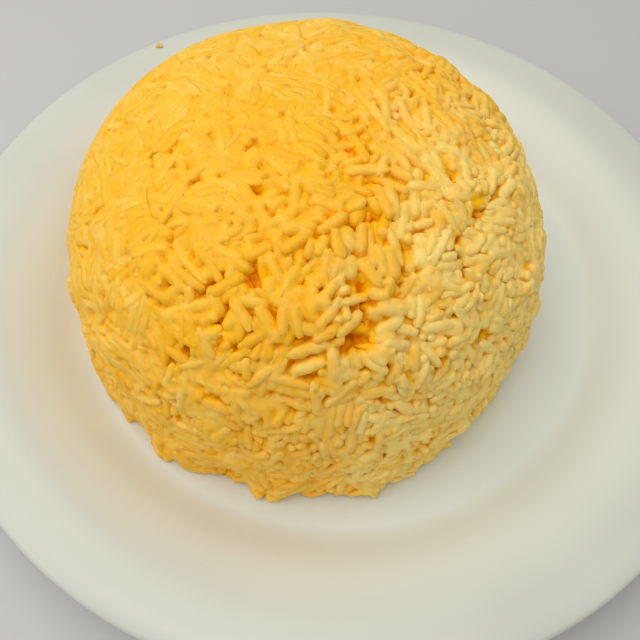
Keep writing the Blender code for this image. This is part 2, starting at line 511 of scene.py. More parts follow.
def new_group(name, inputs, outputs):
    """A node group with named inputs and outputs, each with its kind, and its two end nodes."""
    group = bpy.data.node_groups.new(name, "ShaderNodeTree")
    for label, kind in inputs:
        group.interface.new_socket(label, in_out="INPUT", socket_type=kind)
    for label, kind in outputs:
        group.interface.new_socket(label, in_out="OUTPUT", socket_type=kind)
    return group, group.nodes.new("NodeGroupInput"), group.nodes.new("NodeGroupOutput")


# ---- materials ----


# What the rice's shader group takes: a piece's three colours, and three numbers at each point.
# Paleness is 1 for straw, depth is 1 well under the skin, and tone runs from cooler to warmer.
RICE_COLOURS = ("Golden", "Straw", "Deep")
RICE_VALUES = ("Paleness", "Depth", "Tone")

# How strong the fine relief is on cooked rice and on dried rice.
FINE_RELIEF = 0.25
DRIED_RELIEF = 0.6

# Colours that every piece of rice shares.
COOL_TONE = (0.98, 0.93, 0.74)
WARM_TONE = (1.0, 0.77, 0.14)
# painted shade: the darker amber of the deepest pockets
POCKET_SHADE_AMBER = (0.80, 0.25, 0.002)
PALE_FLECK = (1.0, 0.76, 0.24)
DARK_DOT = (0.66, 0.31, 0.004)

# How fine the patterns on the rice are, in repeats a metre.
DOT_PATCH_SCALE = 60.0
STAIN_SCALE = 120.0
DOT_SCALE = 150.0
BLOTCH_SCALE = 190.0
MOTTLE_SCALE = 520.0
SURFACE_SCALE = 1500.0


def cooked_rice_group():
    """Colour, roughness, film of oil and fine relief of cooked rice, for grains, core and crumb."""
    inputs = [(label, "NodeSocketColor") for label in RICE_COLOURS]
    inputs += [(label, "NodeSocketFloat") for label in RICE_VALUES]
    outputs = [("Colour", "NodeSocketColor")]
    outputs += [(label, "NodeSocketFloat") for label in ("Roughness", "Oil", "Height")]
    group, start, end = new_group("cooked_rice", inputs, outputs)
    golden, straw, deep = (start.outputs[label] for label in RICE_COLOURS)
    paleness, depth, tone = (start.outputs[label] for label in RICE_VALUES)
    place = add_node(group, "ShaderNodeTexCoord").outputs["Object"]
    blotches = noise(group, place, BLOTCH_SCALE, 3.0, 0.6)
    mottle = noise(group, place, MOTTLE_SCALE, 2.0, 0.6)
    surface = noise(group, place, SURFACE_SCALE, 3.0)

    # paler in blotches, and paler where it stands out, which is painted light on the tops; the more so the
    # paler it is
    uneven = math_node(group, "MULTIPLY_ADD", paleness, 0.22, 0.12)
    patches = math_node(group, "MULTIPLY", remap(group, blotches, 0.3, 0.7, -1.0, 1.0), uneven)
    painted_top_light = math_node(group, "MULTIPLY", remap(group, depth, 0.10, -0.10, 0.0, 0.4), uneven)
    paler = math_node(group, "ADD", math_node(group, "ADD", paleness, patches), painted_top_light)
    body = mix_colour(group, paler, golden, straw)

    # cooler or warmer from grain to grain
    cooler = mix_colour(group, 1.0, body, rgba(COOL_TONE), "MULTIPLY")
    warmer = mix_colour(group, 0.14, body, rgba(WARM_TONE))
    toned = mix_colour(group, tone, cooler, warmer)

    # deeper in colour where it is sunk, partly colour that gathers there and partly painted shade, in
    # stains and in the mottle; darker amber down in the pockets is painted shade
    stains = remap(group, noise(group, place, STAIN_SCALE, 4.0, 0.65), 0.56, 0.72, 0.0, 0.45)
    stained = math_node(group, "ADD", stains, remap(group, mottle, 0.50, 0.72, 0.0, 0.26))
    sunk_colour_and_shade = remap(group, depth, 0.14, 0.70, 0.0, 0.95)
    coloured = mix_colour(group, math_node(group, "MAXIMUM", sunk_colour_and_shade, stained), toned, deep)
    # painted shade: darker amber in the deepest pockets
    pocket_shade = remap(group, depth, 0.72, 1.15, 0.0, 0.80)
    coloured = mix_colour(group, pocket_shade, coloured, rgba(POCKET_SHADE_AMBER))

    # pale flecks, and small dark dots in patches
    flecks = remap(group, mottle, 0.46, 0.26, 0.0, 0.16)
    coloured = mix_colour(group, flecks, coloured, rgba(PALE_FLECK))
    spots = add_node(group, "ShaderNodeTexVoronoi", {"Scale": DOT_SCALE})
    group.links.new(place, spots.inputs["Vector"])
    round_dots = remap(group, spots.outputs["Distance"], 0.06, 0.14, 0.55, 0.0)
    dot_patches = remap(group, noise(group, place, DOT_PATCH_SCALE), 0.42, 0.56)
    dots = math_node(group, "MULTIPLY", round_dots, dot_patches)

    results = {
        "Colour": mix_colour(group, dots, coloured, rgba(DARK_DOT)),
        "Roughness": remap(group, blotches, 0.25, 0.75, 0.34, 0.52),
        "Oil": remap(group, depth, 0.05, 0.40, 0.42, 0.0),
        "Height": math_node(group, "MULTIPLY_ADD", mottle, 1.6, surface),
    }
    for label, result in results.items():
        group.links.new(result, end.inputs[label])
    return group


def rice_material(name, colours, relief):
    """Cooked rice: soft, a little translucent, with a thin film of oil."""
    material, tree, shader = new_material(name)
    shared = bpy.data.node_groups.get("cooked_rice") or cooked_rice_group()
    looks = add_node(tree, "ShaderNodeGroup", node_tree=shared)
    for label, value in zip(RICE_COLOURS, colours):
        looks.inputs[label].default_value = rgba(value)
    for label in RICE_VALUES:
        stored = add_node(tree, "ShaderNodeAttribute", attribute_name=label.lower())
        tree.links.new(stored.outputs["Fac"], looks.inputs[label])
    tree.links.new(looks.outputs["Colour"], shader.inputs["Base Color"])
    tree.links.new(looks.outputs["Roughness"], shader.inputs["Roughness"])
    tree.links.new(looks.outputs["Oil"], shader.inputs["Coat Weight"])
    add_relief(tree, shader, looks.outputs["Height"], relief, 0.0003)
    shader.inputs["Coat Roughness"].default_value = 0.42
    shader.inputs["Specular IOR Level"].default_value = 0.0
    shader.inputs["Subsurface Weight"].default_value = 0.30
    shader.inputs["Subsurface Radius"].default_value = (1.0, 0.62, 0.12)
    shader.inputs["Subsurface Scale"].default_value = 0.0009
    return material


def glaze_material(plate):
    """White glaze, painted lighter and cooler in the well as painted light against the shade and yellow
    bounce light near the rice, softly uneven, with bare clay under the foot.
    """
    material, tree, shader = new_material("white_glaze")
    place = add_node(tree, "ShaderNodeTexCoord").outputs["Object"]
    cloud = noise(tree, place, 28.0, 0.0)
    pinholes = noise(tree, place, 900.0, 1.0)
    split = add_node(tree, "ShaderNodeSeparateXYZ")
    tree.links.new(place, split.inputs["Vector"])
    across = math_node(tree, "POWER", split.outputs["X"], 2.0)
    away = math_node(tree, "POWER", split.outputs["Y"], 2.0)
    radius = math_node(tree, "SQRT", math_node(tree, "ADD", across, away))
    rim = remap(tree, radius, plate.wall_radius, plate.crest_radius)
    foot = remap(tree, split.outputs["Z"], 0.0003, 0.0009, 1.0, 0.0)
    # painted light: the well is lighter and cooler than the rim, to cancel the shade and yellow bounce
    # light near the rice
    lifted_glaze_mix = mix_colour(tree, rim, rgba(plate.well_glaze_painted_light), rgba(plate.glaze))
    clouded = mix_colour(tree, remap(tree, cloud, 0.3, 0.7, 0.03, 0.0), lifted_glaze_mix, rgba((0.0, 0.0, 0.0)))
    tree.links.new(mix_colour(tree, foot, clouded, rgba(plate.bisque)), shader.inputs["Base Color"])
    gloss = remap(tree, cloud, 0.3, 0.7, 0.29, 0.35)
    bare = math_node(tree, "MULTIPLY", foot, 0.75)
    tree.links.new(math_node(tree, "MAXIMUM", gloss, bare), shader.inputs["Roughness"])
    add_relief(tree, shader, pinholes, 0.25, 0.00001)
    shader.inputs["Specular IOR Level"].default_value = 0.4
    return material


# ---- plate ----


def curve(start, start_slope, end, end_slope, steps):
    """Points after the start, up to the end, of a cubic through both with the slopes given."""
    run = end[0] - start[0]
    points = []
    for step in range(1, steps + 1):
        t = step / steps
        from_start = 2 * t ** 3 - 3 * t ** 2 + 1
        lean_start = (t ** 3 - 2 * t ** 2 + t) * run * start_slope
        lean_end = (t ** 3 - t ** 2) * run * end_slope
        height = from_start * start[1] + (1 - from_start) * end[1] + lean_start + lean_end
        points.append((start[0] + run * t, height))
    return points


def arc(centre, radius, from_degrees, to_degrees, steps):
    """Points of a round corner."""
    points = []
    for step in range(steps + 1):
        angle = math.radians(from_degrees + (to_degrees - from_degrees) * step / steps)
        points.append((centre[0] + radius * math.cos(angle), centre[1] + radius * math.sin(angle)))
    return points


def plate_section(plate):
    """Radius and height from the floor's edge over the rim and under it to the recess."""
    lip = plate.thickness / 2
    lip_centre = (plate.radius - lip, plate.edge_height)
    roll_degrees = 90 + math.degrees(math.atan(plate.roll_slope))
    nose = arc(lip_centre, lip, roll_degrees, -90, 10)
    floor_edge = (plate.floor_radius, plate.floor_height)
    wall = (plate.wall_radius, plate.wall_height)
    crest = (plate.crest_radius, plate.crest_height)
    top = [floor_edge]
    top += curve(floor_edge, 0.0, wall, plate.wall_slope, 10)
    top += curve(wall, plate.wall_slope, crest, 0.0, 10)
    top += curve(crest, 0.0, nose[0], plate.roll_slope, 6)
    underside = [(radius, height - plate.thickness) for radius, height in reversed(top[1:-3])]
    recess = plate.floor_height - plate.thickness
    edge = 0.0008
    hollow = 0.0014
    outer = plate.foot_outer
    inner = plate.foot_inner
    foot = arc((outer + hollow, recess - hollow), hollow, 90, 180, 5)
    foot += arc((outer - edge, edge), edge, 0, -90, 4)
    foot += arc((inner + edge, edge), edge, -90, -180, 4)
    foot += arc((inner - hollow, recess - hollow), hollow, 0, 90, 5)
    return top + nose[1:] + underside + foot


def model_plate(plate):
    """A disc the size of the floor, its edge drawn out ring by ring along the plate's section."""
    section = plate_section(plate)
    deselect_all()
    bpy.ops.mesh.primitive_circle_add(
        vertices=plate.segments,
        radius=section[0][0],
        fill_type="NGON",
        location=(0, 0, section[0][1]),
    )
    piece = bpy.context.active_object
    piece.name = "plate_glazed"
    bpy.ops.object.transform_apply(location=True)
    edit_all()
    bpy.ops.mesh.region_to_loop()
    for (radius, height), (next_radius, next_height) in zip(section, section[1:]):
        share = next_radius / radius
        bpy.ops.mesh.extrude_edges_move()
        bpy.ops.transform.resize(value=(share, share, 1), center_override=(0, 0, 0))
        bpy.ops.transform.translate(value=(0, 0, next_height - height))
    bpy.ops.mesh.edge_face_add()
    bpy.ops.mesh.select_all(action="SELECT")
    bpy.ops.mesh.normals_make_consistent(inside=False)
    bpy.ops.object.mode_set(mode="OBJECT")
    bpy.ops.object.shade_smooth_by_angle(angle=math.radians(50))
    return piece


class RICE_DISH_OT_plate(bpy.types.Operator):
    """Model the glazed plate that carries the rice"""

    bl_idname = "rice_dish.plate"
    bl_label = "Plate"

    def execute(self, context):
        plate = context.scene.rice_dish_plate
        finish_piece(model_plate(plate), glaze_material(plate), "plate")
        return {"FINISHED"}


# ---- the bowl's wall, and where the rice is loose or pressed ----


def direction_of(azimuth, elevation):
    """Unit direction from the middle of the dome's base, angles in degrees."""
    turn = math.radians(azimuth)
    rise = math.radians(elevation)
    return np.array((math.cos(turn) * math.cos(rise), math.sin(turn) * math.cos(rise), math.sin(rise)))


def unit(rows):
    """Rows scaled to length one."""
    return rows / np.maximum(np.linalg.norm(rows, axis=-1, keepdims=True), 1e-9)


def squared(rows, axes):
    """Each row turned square to its axis, scaled to length one."""
    return unit(rows - axes * (rows * axes).sum(1)[:, None])


def smooth(values, low, high):
    """0 below the range, 1 above it, smooth between."""
    t = np.clip((values - low) / (high - low), 0, 1)
    return t * t * (3 - 2 * t)


WAVES = 14


def wander(points, wavelength, seed):
    """A smooth random number at each point, about as often over 0 as under, of size 1."""
    draw = np.random.default_rng(seed)
    turns = unit(draw.normal(size=(WAVES, 3))) * draw.uniform(0.7, 1.4, (WAVES, 1))
    waves = turns * 2 * math.pi / wavelength
    phases = draw.uniform(0, 2 * math.pi, WAVES)
    return np.sin(points @ waves.T + phases).sum(1) / math.sqrt(WAVES / 2)


def wander_all_ways(points, wavelength, seed):
    """A smooth random number at each point for each axis."""
    return np.stack([wander(points, wavelength, seed + axis) for axis in range(3)], 1)


def over_heap(values, firm, loose):
    """A value that changes over the heap, as the list of those gives it."""
    plain, firmer, looser = values
    return plain + firmer * firm + looser * loose


# So many points at once are held against all clumps.
ROWS_AT_ONCE = 8192


class Bowl:
    """The wall that the rice was pressed against. Points are measured from the middle of its rim."""

    loose_side = direction_of(-25, 20)
    pressed_side = direction_of(160, 55)
    rich_side = direction_of(-110, 70)
    faded_side = direction_of(105, 55)
    sight_steps = np.linspace(0.08, 0.32, 2400)

    def __init__(self, scene):
        rice = scene.rice_dish_rice
        self.radius = rice.radius
        self.height = rice.height
        self.power = rice.roundness
        self.focal_px = scene.rice_dish_stage.focal_px
        view = view_axes(scene.rice_dish_stage, scene.rice_dish_plate)
        self.eye, self.across, self.upward, self.forward = (np.array(axis) for axis in view)
        self.eye = self.eye - np.array(rice.centre)
        self.find_pockets()
        draw = np.random.default_rng(SEED)
        spots = self.wall(unit(self.loose_side + draw.normal(size=(CLUMP_TRIES, 3)) * CLUMP_SPREAD))
        spots = spots[spots[:, 2] > 0]
        chosen = []
        for spot in spots:
            if all(np.linalg.norm(spot - other) > CLUMP_SPACING for other in chosen):
                chosen.append(spot)
        self.clumps = np.array(chosen)
        self.clump_heights = draw.normal(size=len(chosen)) * CLUMP_STEP
        self.clump_tilts = draw.normal(size=(len(chosen), 3)) * CLUMP_TILT

    def fullness(self, points):
        """Under 1 inside the smooth wall, over 1 outside."""
        x, y, z = points.T
        level = np.hypot(x, y) / self.radius
        rise = np.maximum(z, 0) / self.height
        return level ** self.power + rise ** self.power

    def wall(self, directions):
        """Where rays from the middle meet the smooth wall."""
        x, y, z = directions.T
        reach = self.fullness(directions) ** (-1 / self.power)
        return np.stack((x, y, np.maximum(z, 0)), 1) * reach[:, None]

    def normals(self, on_wall):
        """Outward normals of the smooth wall."""
        x, y, z = on_wall.T
        level = np.hypot(x, y)
        outward = level ** (self.power - 2) / self.radius ** self.power
        upward = z ** (self.power - 1) / self.height ** self.power
        return unit(np.stack((x * outward, y * outward, upward), 1))

    def seen_at(self, column, row):
        """The place on the wall that the picture shows at a pixel."""
        half = IMAGE_SIDE_PX / 2
        right = (column - half) / self.focal_px
        down = (row - half) / self.focal_px
        ray = self.forward + right * self.across - down * self.upward
        steps = self.eye + self.sight_steps[:, None] * unit(ray)
        inside = (self.fullness(steps) < 1) & (steps[:, 2] > 0)
        return self.wall(unit(steps[inside.argmax()][None]))[0]

    def find_pockets(self):
        """Place, depth and radius of every pocket, of small ones along the cracks, and of the specks."""
        pockets = [(self.seen_at(*place), deep, wide) for *place, deep, wide in SEEN_POCKETS]
        for *turn, deep, wide in FAR_POCKETS:
            pockets.append((self.wall(direction_of(*turn)[None])[0], deep, wide))
        for crack in SEEN_CRACKS:
            turns = [self.seen_at(*place) for place in crack]
            for start, end in zip(turns, turns[1:]):
                steps = max(1, round(np.linalg.norm(end - start) / CRACK_STEP))
                for share in np.arange(steps + 1) / steps:
                    pockets.append((start + (end - start) * share, CRACK_DEPTH, CRACK_WIDTH))
        draw = np.random.default_rng(SEED + 2)
        spots = self.wall(unit(self.pressed_side + draw.normal(size=(SPECKS * 3, 3)) * 0.6))
        spots = spots[(spots[:, 2] > 0.005) & (self.firmness(spots) > 0.3)][:SPECKS]
        for spot in spots:
            pockets.append((spot, draw.uniform(*SPECK_DEPTHS), draw.uniform(*SPECK_RADII)))
        self.places, self.depths, self.radii = (np.array(column) for column in zip(*pockets))

    def looseness(self, on_wall):
        """0 on the firm side, 1 where the rice crumbles."""
        side = unit(on_wall) @ self.loose_side
        return smooth(side + 0.05 * wander(on_wall, 0.025, SEED), 0.28, 0.85)

    def dryness(self, on_wall):
        """0 where the colour is full, 1 where the rice is paler."""
        directions = unit(on_wall)
        side = directions @ self.loose_side + 0.05 * wander(on_wall, 0.018, SEED + 12)
        low = smooth(-directions[:, 2], -0.78, -0.45)
        rich = 1 - smooth(1 - directions @ self.rich_side, 0, 0.12)
        faded = smooth(directions @ self.faded_side, 0.86, 1.0)
        return 0.06 + 0.86 * smooth(side, 0.42, 0.97) + 0.14 * low - 0.22 * rich + 0.14 * faded

    def firmness(self, on_wall):
        """1 where the rice was pressed into one smooth skin."""
        side = unit(on_wall) @ self.pressed_side
        return smooth(side + 0.04 * wander(on_wall, 0.020, SEED + 1), 0.64, 0.92)

    def limit(self, on_wall, creased=True):
        """How far over the smooth wall the rice may reach, with or without the creases between clumps."""
        ragged = 1 + 0.9 * wander(on_wall, 0.007, SEED + 14)
        push = BASE_FLARE * np.exp(-on_wall[:, 2] / BASE_FLARE_HEIGHT) * ragged
        for azimuth, elevation, height, spread in LUMPS:
            middle = self.wall(direction_of(azimuth, elevation)[None])
            push += height * np.exp(-((on_wall - middle) ** 2).sum(1) / spread ** 2)
        loose = self.looseness(on_wall)
        firm = self.firmness(on_wall)
        push += WAVINESS * (1 - firm) * wander(on_wall, WAVE_LENGTH, SEED + 3)
        broken = loose > 0.01
        push[broken] += loose[broken] * self.clump_relief(on_wall[broken], creased)
        return push + WALL_OFFSET

    def clump_relief(self, on_wall, creased):
        """Each clump a little higher or lower and tilted, with a crease round it."""
        if len(on_wall) > ROWS_AT_ONCE:
            shares = np.array_split(on_wall, len(on_wall) // ROWS_AT_ONCE + 1)
            return np.concatenate([self.clump_relief(share, creased) for share in shares])
        bent = on_wall + 0.0012 * wander_all_ways(on_wall, 0.008, SEED + 20)
        reach = ((bent[:, None] - self.clumps[None]) ** 2).sum(2)
        nearest = reach.argmin(1)
        rows = np.arange(len(bent))
        first = np.sqrt(reach[rows, nearest])
        reach[rows, nearest] = 1
        second = np.sqrt(reach.min(1))
        lean = ((bent - self.clumps[nearest]) * self.clump_tilts[nearest]).sum(1)
        relief = (self.clump_heights[nearest] + lean) * smooth(second - first, 0.0, CLUMP_EDGE)
        if creased:
            relief -= CREASE_DEPTH * np.exp(-((second - first) / CREASE_WIDTH) ** 2)
        return relief

    def varied(self, values, on_wall, wavelength, seed):
        """A value that changes over the heap, and by up to a quarter or so at random."""
        chance = 1 + 0.25 * wander(on_wall, wavelength, seed)
        return over_heap(values, self.firmness(on_wall), self.looseness(on_wall)) * chance

    def stickiness(self, on_wall):
        """How widely the grains flow into each other."""
        return self.varied(STICKINESS, on_wall, 0.012, SEED + 8)

    def inset(self, on_wall):
        """How far the sticky skin lies inside the grains it is drawn over."""
        return self.varied(SKIN_INSET, on_wall, 0.014, SEED + 9)

    def strongest(self, on_wall, strengths, radii, cutoff):
        """The strongest of what all pockets do here, each fading round its place."""
        most = np.zeros(len(on_wall))
        for place, strength, radius in zip(self.places, strengths, radii):
            near = np.flatnonzero(np.abs(on_wall - place).max(1) < cutoff * radius)
            here = strength * np.exp(-((on_wall[near] - place) ** 2).sum(1) / radius ** 2)
            most[near] = np.maximum(most[near], here)
        return most

    def pits(self, on_wall):
        """How deep the pockets are here."""
        return self.strongest(on_wall, self.depths, self.radii, POCKET_CUTOFF)

    def stain(self, on_wall):
        """How much the colour that gathers in the pockets has run into the rice here."""
        strengths = np.minimum(STAIN_MOST, self.depths / STAIN_FULL_DEPTH)
        return STAIN_STRENGTH * self.strongest(on_wall, strengths, STAIN_REACH * self.radii, STAIN_CUTOFF)

    def pegs(self):
        """Balls in the pockets, as deep as the grains' middles, that no grain may enter."""
        open_share = np.clip(self.depths / DEEPEST_POCKET, PEG_SHARE, 1)
        return self.places - self.normals(self.places) * PEG_DEPTH, self.radii * open_share ** 2

    def measure(self, points):
        """The foot of each point on the wall, the outward normal there, and how high it stands."""
        on_wall = self.wall(unit(points))
        normals = self.normals(on_wall)
        return on_wall, normals, ((points - on_wall) * normals).sum(1)


# ---- core ----

# Balls along a grain that stand for it: their places against its length, and their widths against
# its own.
BEADS = np.array((-0.40, -0.20, 0.0, 0.20, 0.40))
BEAD_SHARES = np.array((0.84, 1.0, 1.0, 1.0, 0.84))

# The sticky skin is looked for outwards and inwards from a foot point this far inside the limit,
# from the highest level to the lowest, among the grains within reach.
FOOT_DEPTH = 0.0010
SKIN_LEVELS = np.linspace(0.0016, -0.0026, 17)
SKIN_REACH = 0.0036

# The skin takes a grain as a rod with round ends, this wide to each side against the grain's width.
# Colours of neighbours blend over this length, and the last number keeps sums over 0.
ROD_SHARE = 0.48
COLOUR_BLEND = 0.00010
BARELY = 1e-12

# The half ball is cut this far over its middle. Its points under the second height are its base.
BASE_CUT = 0.0005
BASE_TOP = 1e-5

# By how much of a pocket's depth the skin over it sinks.
SKIN_SINKS = 0.5


def core_depth(bowl, on_wall):
    """How far the core lies under the grains' skin where no grain is near."""
    depth = over_heap(CORE_DEPTH, bowl.firmness(on_wall), bowl.looseness(on_wall))
    bumps = 0.00035 * wander(on_wall, 0.0045, SEED + 4) + 0.00020 * wander(on_wall, 0.0023, SEED + 5)
    return depth + bumps


def bulge_of(bowl, on_wall):
    """How far a grain that was pressed flat still bulges past the bowl's wall."""
    return over_heap(BULGE, bowl.firmness(on_wall), bowl.looseness(on_wall))


def depth_value(under):
    """A depth under the skin as the materials read it."""
    return np.clip(under / DEPTH_SCALE, LOWEST_DEPTH, 1)


def swell_over(bowl, on_wall, normals, limit, grains):
    """A soft skin drawn over the grains near each foot point: its height, its tone, how pale it is."""
    owner = np.repeat(np.arange(len(grains["middles"])), len(BEADS))
    along = (BEADS[None] * grains["lengths"][:, None]).ravel()
    points = grains["middles"][owner] + grains["axes"][owner] * along[:, None]
    foot = on_wall + normals * (limit - FOOT_DEPTH)[:, None]
    first, second = near_pairs(foot, points, SKIN_REACH)
    pairs = np.unique(first * len(points) + owner[second])
    first, grain = np.divmod(pairs, len(points))
    radius = grains["widths"][grain] * ROD_SHARE
    half = np.maximum(grains["lengths"][grain] / 2 - radius * 0.9, 0)
    gap = foot[first] - grains["middles"][grain]
    axes = grains["axes"][grain]
    normal = normals[first]
    along_start, along_step = (gap * axes).sum(1), (normal * axes).sum(1)
    far_start, far_step = (gap ** 2).sum(1), (gap * normal).sum(1)

    def room(level):
        """How far each grain's surface is from this level over its foot point."""
        place = along_start + level * along_step
        past = np.maximum(np.abs(place) - half, 0)
        far = far_start + 2 * level * far_step + level * level - place * place + past * past
        return np.sqrt(np.maximum(far, 0)) - radius

    soft = bowl.stickiness(on_wall)
    soften = soft[first]
    inset = bowl.inset(on_wall)
    tops = np.full(len(foot), SKIN_LEVELS[-1])
    before = np.full(len(foot), 1.0)
    reached = np.zeros(len(foot), bool)
    for level, above in zip(SKIN_LEVELS, (SKIN_LEVELS[0], *SKIN_LEVELS)):
        share = np.exp(np.clip(-room(level) / soften, -40, 40))
        field = inset - soft * np.log(np.bincount(first, share, len(foot)) + BARELY)
        crossing = ~reached & (field < 0)
        step = np.clip(before / np.maximum(before - field, 1e-9), 0, 1)
        tops[crossing] = (above + (level - above) * step)[crossing]
        reached |= crossing
        before = field
    share = np.exp(np.clip(-room(tops[first]) / COLOUR_BLEND, -40, 40))
    total = np.bincount(first, share, len(foot)) + BARELY
    tones = (np.bincount(first, share * grains["tones"][grain], len(foot)) + BARELY / 2) / total
    paler = np.bincount(first, share * grains["paler"][grain], len(foot)) / total
    return np.stack((limit - FOOT_DEPTH + tops, tones, paler))


def part_of(whole, name, chosen, normals):
    """A piece made of the chosen triangles of a whole mesh, shaded as the whole was."""
    corners = read(whole.loops, "vertex_index", kind=np.int32).reshape(-1, 3)
    used, corners = np.unique(corners[chosen], return_inverse=True)
    mesh = mesh_of(name, points_of(whole)[used], corners.ravel(), np.arange(0, corners.size, 3))
    for label in RICE_VALUES:
        values = read(whole.attributes[label.lower()].data, "value", kind=np.float32)
        give_values(mesh, label.lower(), values[used])
    mesh.shade_smooth()
    mesh.normals_split_custom_set_from_vertices(normals[used])
    return object_of(name, mesh)


def half_ball():
    """Half a ball of small triangles, flat side down, with a closed base."""
    deselect_all()
    bpy.ops.mesh.primitive_ico_sphere_add(subdivisions=8, radius=1.0, location=(0, 0, 0))
    piece = bpy.context.active_object
    edit_all()
    bpy.ops.mesh.bisect(plane_co=(0, 0, BASE_CUT), plane_no=(0, 0, 1), use_fill=True, clear_inner=True)
    bpy.ops.mesh.poke()
    bpy.ops.mesh.select_all(action="SELECT")
    bpy.ops.mesh.quads_convert_to_tris()
    bpy.ops.object.mode_set(mode="OBJECT")
    return piece


def model_core(rice, bowl, grains):
    """Half a ball drawn to the bowl's form and over the grains near it, then cut in four quarters."""
    piece = half_ball()
    whole = piece.data
    directions = points_of(whole)
    directions[:, 2] -= directions[:, 2].min()
    on_base = directions[:, 2] < BASE_TOP
    base_middle = on_base & (np.hypot(directions[:, 0], directions[:, 1]) < 0.5)
    directions[base_middle] = (1, 0, 0)
    on_wall = bowl.wall(unit(directions))
    normals = bowl.normals(on_wall)
    limit = bowl.limit(on_wall)
    pits = bowl.pits(on_wall)
    height, tones, paler = np.concatenate(
        [
            swell_over(bowl, on_wall[rows], normals[rows], limit[rows], grains)
            for rows in np.array_split(np.arange(len(on_wall)), 6)
        ],
        1,
    )
    highest = limit + bulge_of(bowl, on_wall) - bowl.inset(on_wall)
    height = np.clip(height - SKIN_SINKS * pits, limit - core_depth(bowl, on_wall) - pits, highest)
    placed = on_wall + normals * height[:, None]
    placed[:, 2] = np.maximum(placed[:, 2], 0)
    placed[on_base, 2] = 0
    placed[base_middle] = 0
    whole.vertices.foreach_set("co", (placed + np.array(rice.centre)).ravel())
    whole.update()
    give_values(whole, "paleness", bowl.dryness(on_wall) + paler)
    give_values(whole, "depth", depth_value(limit - height) + bowl.stain(on_wall))
    give_values(whole, "tone", tones)
    shading = read(whole.vertex_normals, "vector", 3)
    across, away, _ = (read(whole.polygons, "center", 3) - np.array(rice.centre)).T
    parts = []
    for side, on_side in (("left", across < 0), ("right", across >= 0)):
        for end, at_end in (("front", away < 0), ("back", away >= 0)):
            parts.append(part_of(whole, f"rice_core_{side}_{end}", on_side & at_end, shading))
    bpy.data.objects.remove(piece, do_unlink=True)
    bpy.data.meshes.remove(whole)
    return parts


class RICE_DISH_OT_core(bpy.types.Operator):
    """Model the sticky rice that fills the gaps between the grains"""

    bl_idname = "rice_dish.core"
    bl_label = "Core"

    def execute(self, context):
        rice = context.scene.rice_dish_rice
        material = rice_material("rice_between_grains", (rice.golden, rice.straw, rice.deep), FINE_RELIEF)
        for part in model_core(rice, Bowl(context.scene), lay_grains(context.scene)):
            finish_piece(part, material, "rice")
        return {"FINISHED"}


# ---- grains ----

# Each kind of grain: share of all grains, and what the loose side adds to it, length and width
# against a whole grain, bend in degrees, how much slimmer one end is, and how blunt the ends are.
GRAIN_KINDS = {
    "whole": (0.30, 0.00, 1.00, 1.00, 6, 0.05, 0.90),
    "bowed": (0.20, 0.00, 1.04, 0.96, 24, 0.10, 0.80),
    "slim": (0.16, 0.00, 1.12, 0.90, 12, 0.16, 0.70),
    "stout": (0.12, 0.14, 0.80, 1.12, 8, 0.04, 0.95),
    "hooked": (0.06, 0.04, 0.96, 0.94, 48, 0.12, 0.80),
    "burst": (0.07, 0.10, 0.84, 1.06, 10, -0.26, 1.00),
    "broken": (0.09, 0.20, 0.55, 0.98, 0, 0.10, 1.00),
}
GRAIN_SIDES = 8
GRAIN_RINGS = 8
GRAIN_FLATNESS = 0.88
BLUNT_POWER = 5

# How grains differ in length and in width, each against its kind, and in tone and paleness.
LENGTHS = (0.86, 1.14)
WIDTHS = (0.88, 1.12)
TONES = (0.1, 0.9)
PALER_SPREAD = 0.08

# The grains seen in the picture stand this far out, and are this warm in tone and this pale.
SEEN_RISE = 0.0003
SEEN_TONE = 0.8
SEEN_PALER = 0.08

# How much sparser the grains lie where the rice is loose, how much each turns away from the grains
# round it, and rolls, and how unevenly its surface swells.
OPENNESS = 0.14
TURNING = 0.75
ROLLING = 0.5
SWELLING = 0.00013

# A grain is left out where it lies wholly under this share of the core's depth.
HIDDEN_SHARE = 0.9


def model_grain(kind, rice):
    """One grain along X at the origin: a long ball with blunt ends, one end slimmer, and bent."""
    _, _, long, wide, bend, slimmer, blunt = GRAIN_KINDS[kind]
    half = rice.grain_length * long / 2
    thick = rice.grain_width * wide / 2
    deselect_all()
    bpy.ops.mesh.primitive_uv_sphere_add(
        segments=GRAIN_SIDES, ring_count=GRAIN_RINGS, radius=1.0, calc_uvs=True
    )
    piece = bpy.context.active_object
    piece.name = "grain_" + kind
    edit_all()
    bpy.ops.transform.rotate(value=math.pi / 2, orient_axis="Y", center_override=(0, 0, 0))
    bpy.ops.transform.resize(value=(half, thick, thick * GRAIN_FLATNESS), center_override=(0, 0, 0))
    for ring in range(1, GRAIN_RINGS):
        place = half * math.cos(math.pi * ring / GRAIN_RINGS)
        along = place / half
        round_end = math.sqrt(1 - along * along)
        blunt_end = (1 - abs(along) ** BLUNT_POWER) ** 0.5
        share = (round_end + (blunt_end - round_end) * blunt) / round_end
        share *= 1 - slimmer * smooth(np.array(along), -0.2, 1.0)
        select_points(piece, lambda co: abs(co.x - place) < half * 0.02)
        bpy.ops.transform.resize(value=(1, share, share), center_override=(0, 0, 0))
    bpy.ops.object.mode_set(mode="OBJECT")
    if bend:
        bender = piece.modifiers.new("Bend", "SIMPLE_DEFORM")
        bender.deform_method = "BEND"
        bender.deform_axis = "Z"
        bender.angle = math.radians(bend)
        bpy.ops.object.modifier_apply(modifier="Bend")
    points = points_of(piece.data)
    points -= (points.max(0) + points.min(0)) / 2
    faces = [tuple(face.vertices) for face in piece.data.polygons]
    places = read(piece.data.uv_layers.active.data, "uv", 2)
    bpy.data.objects.remove(piece, do_unlink=True)
    return points, faces, places


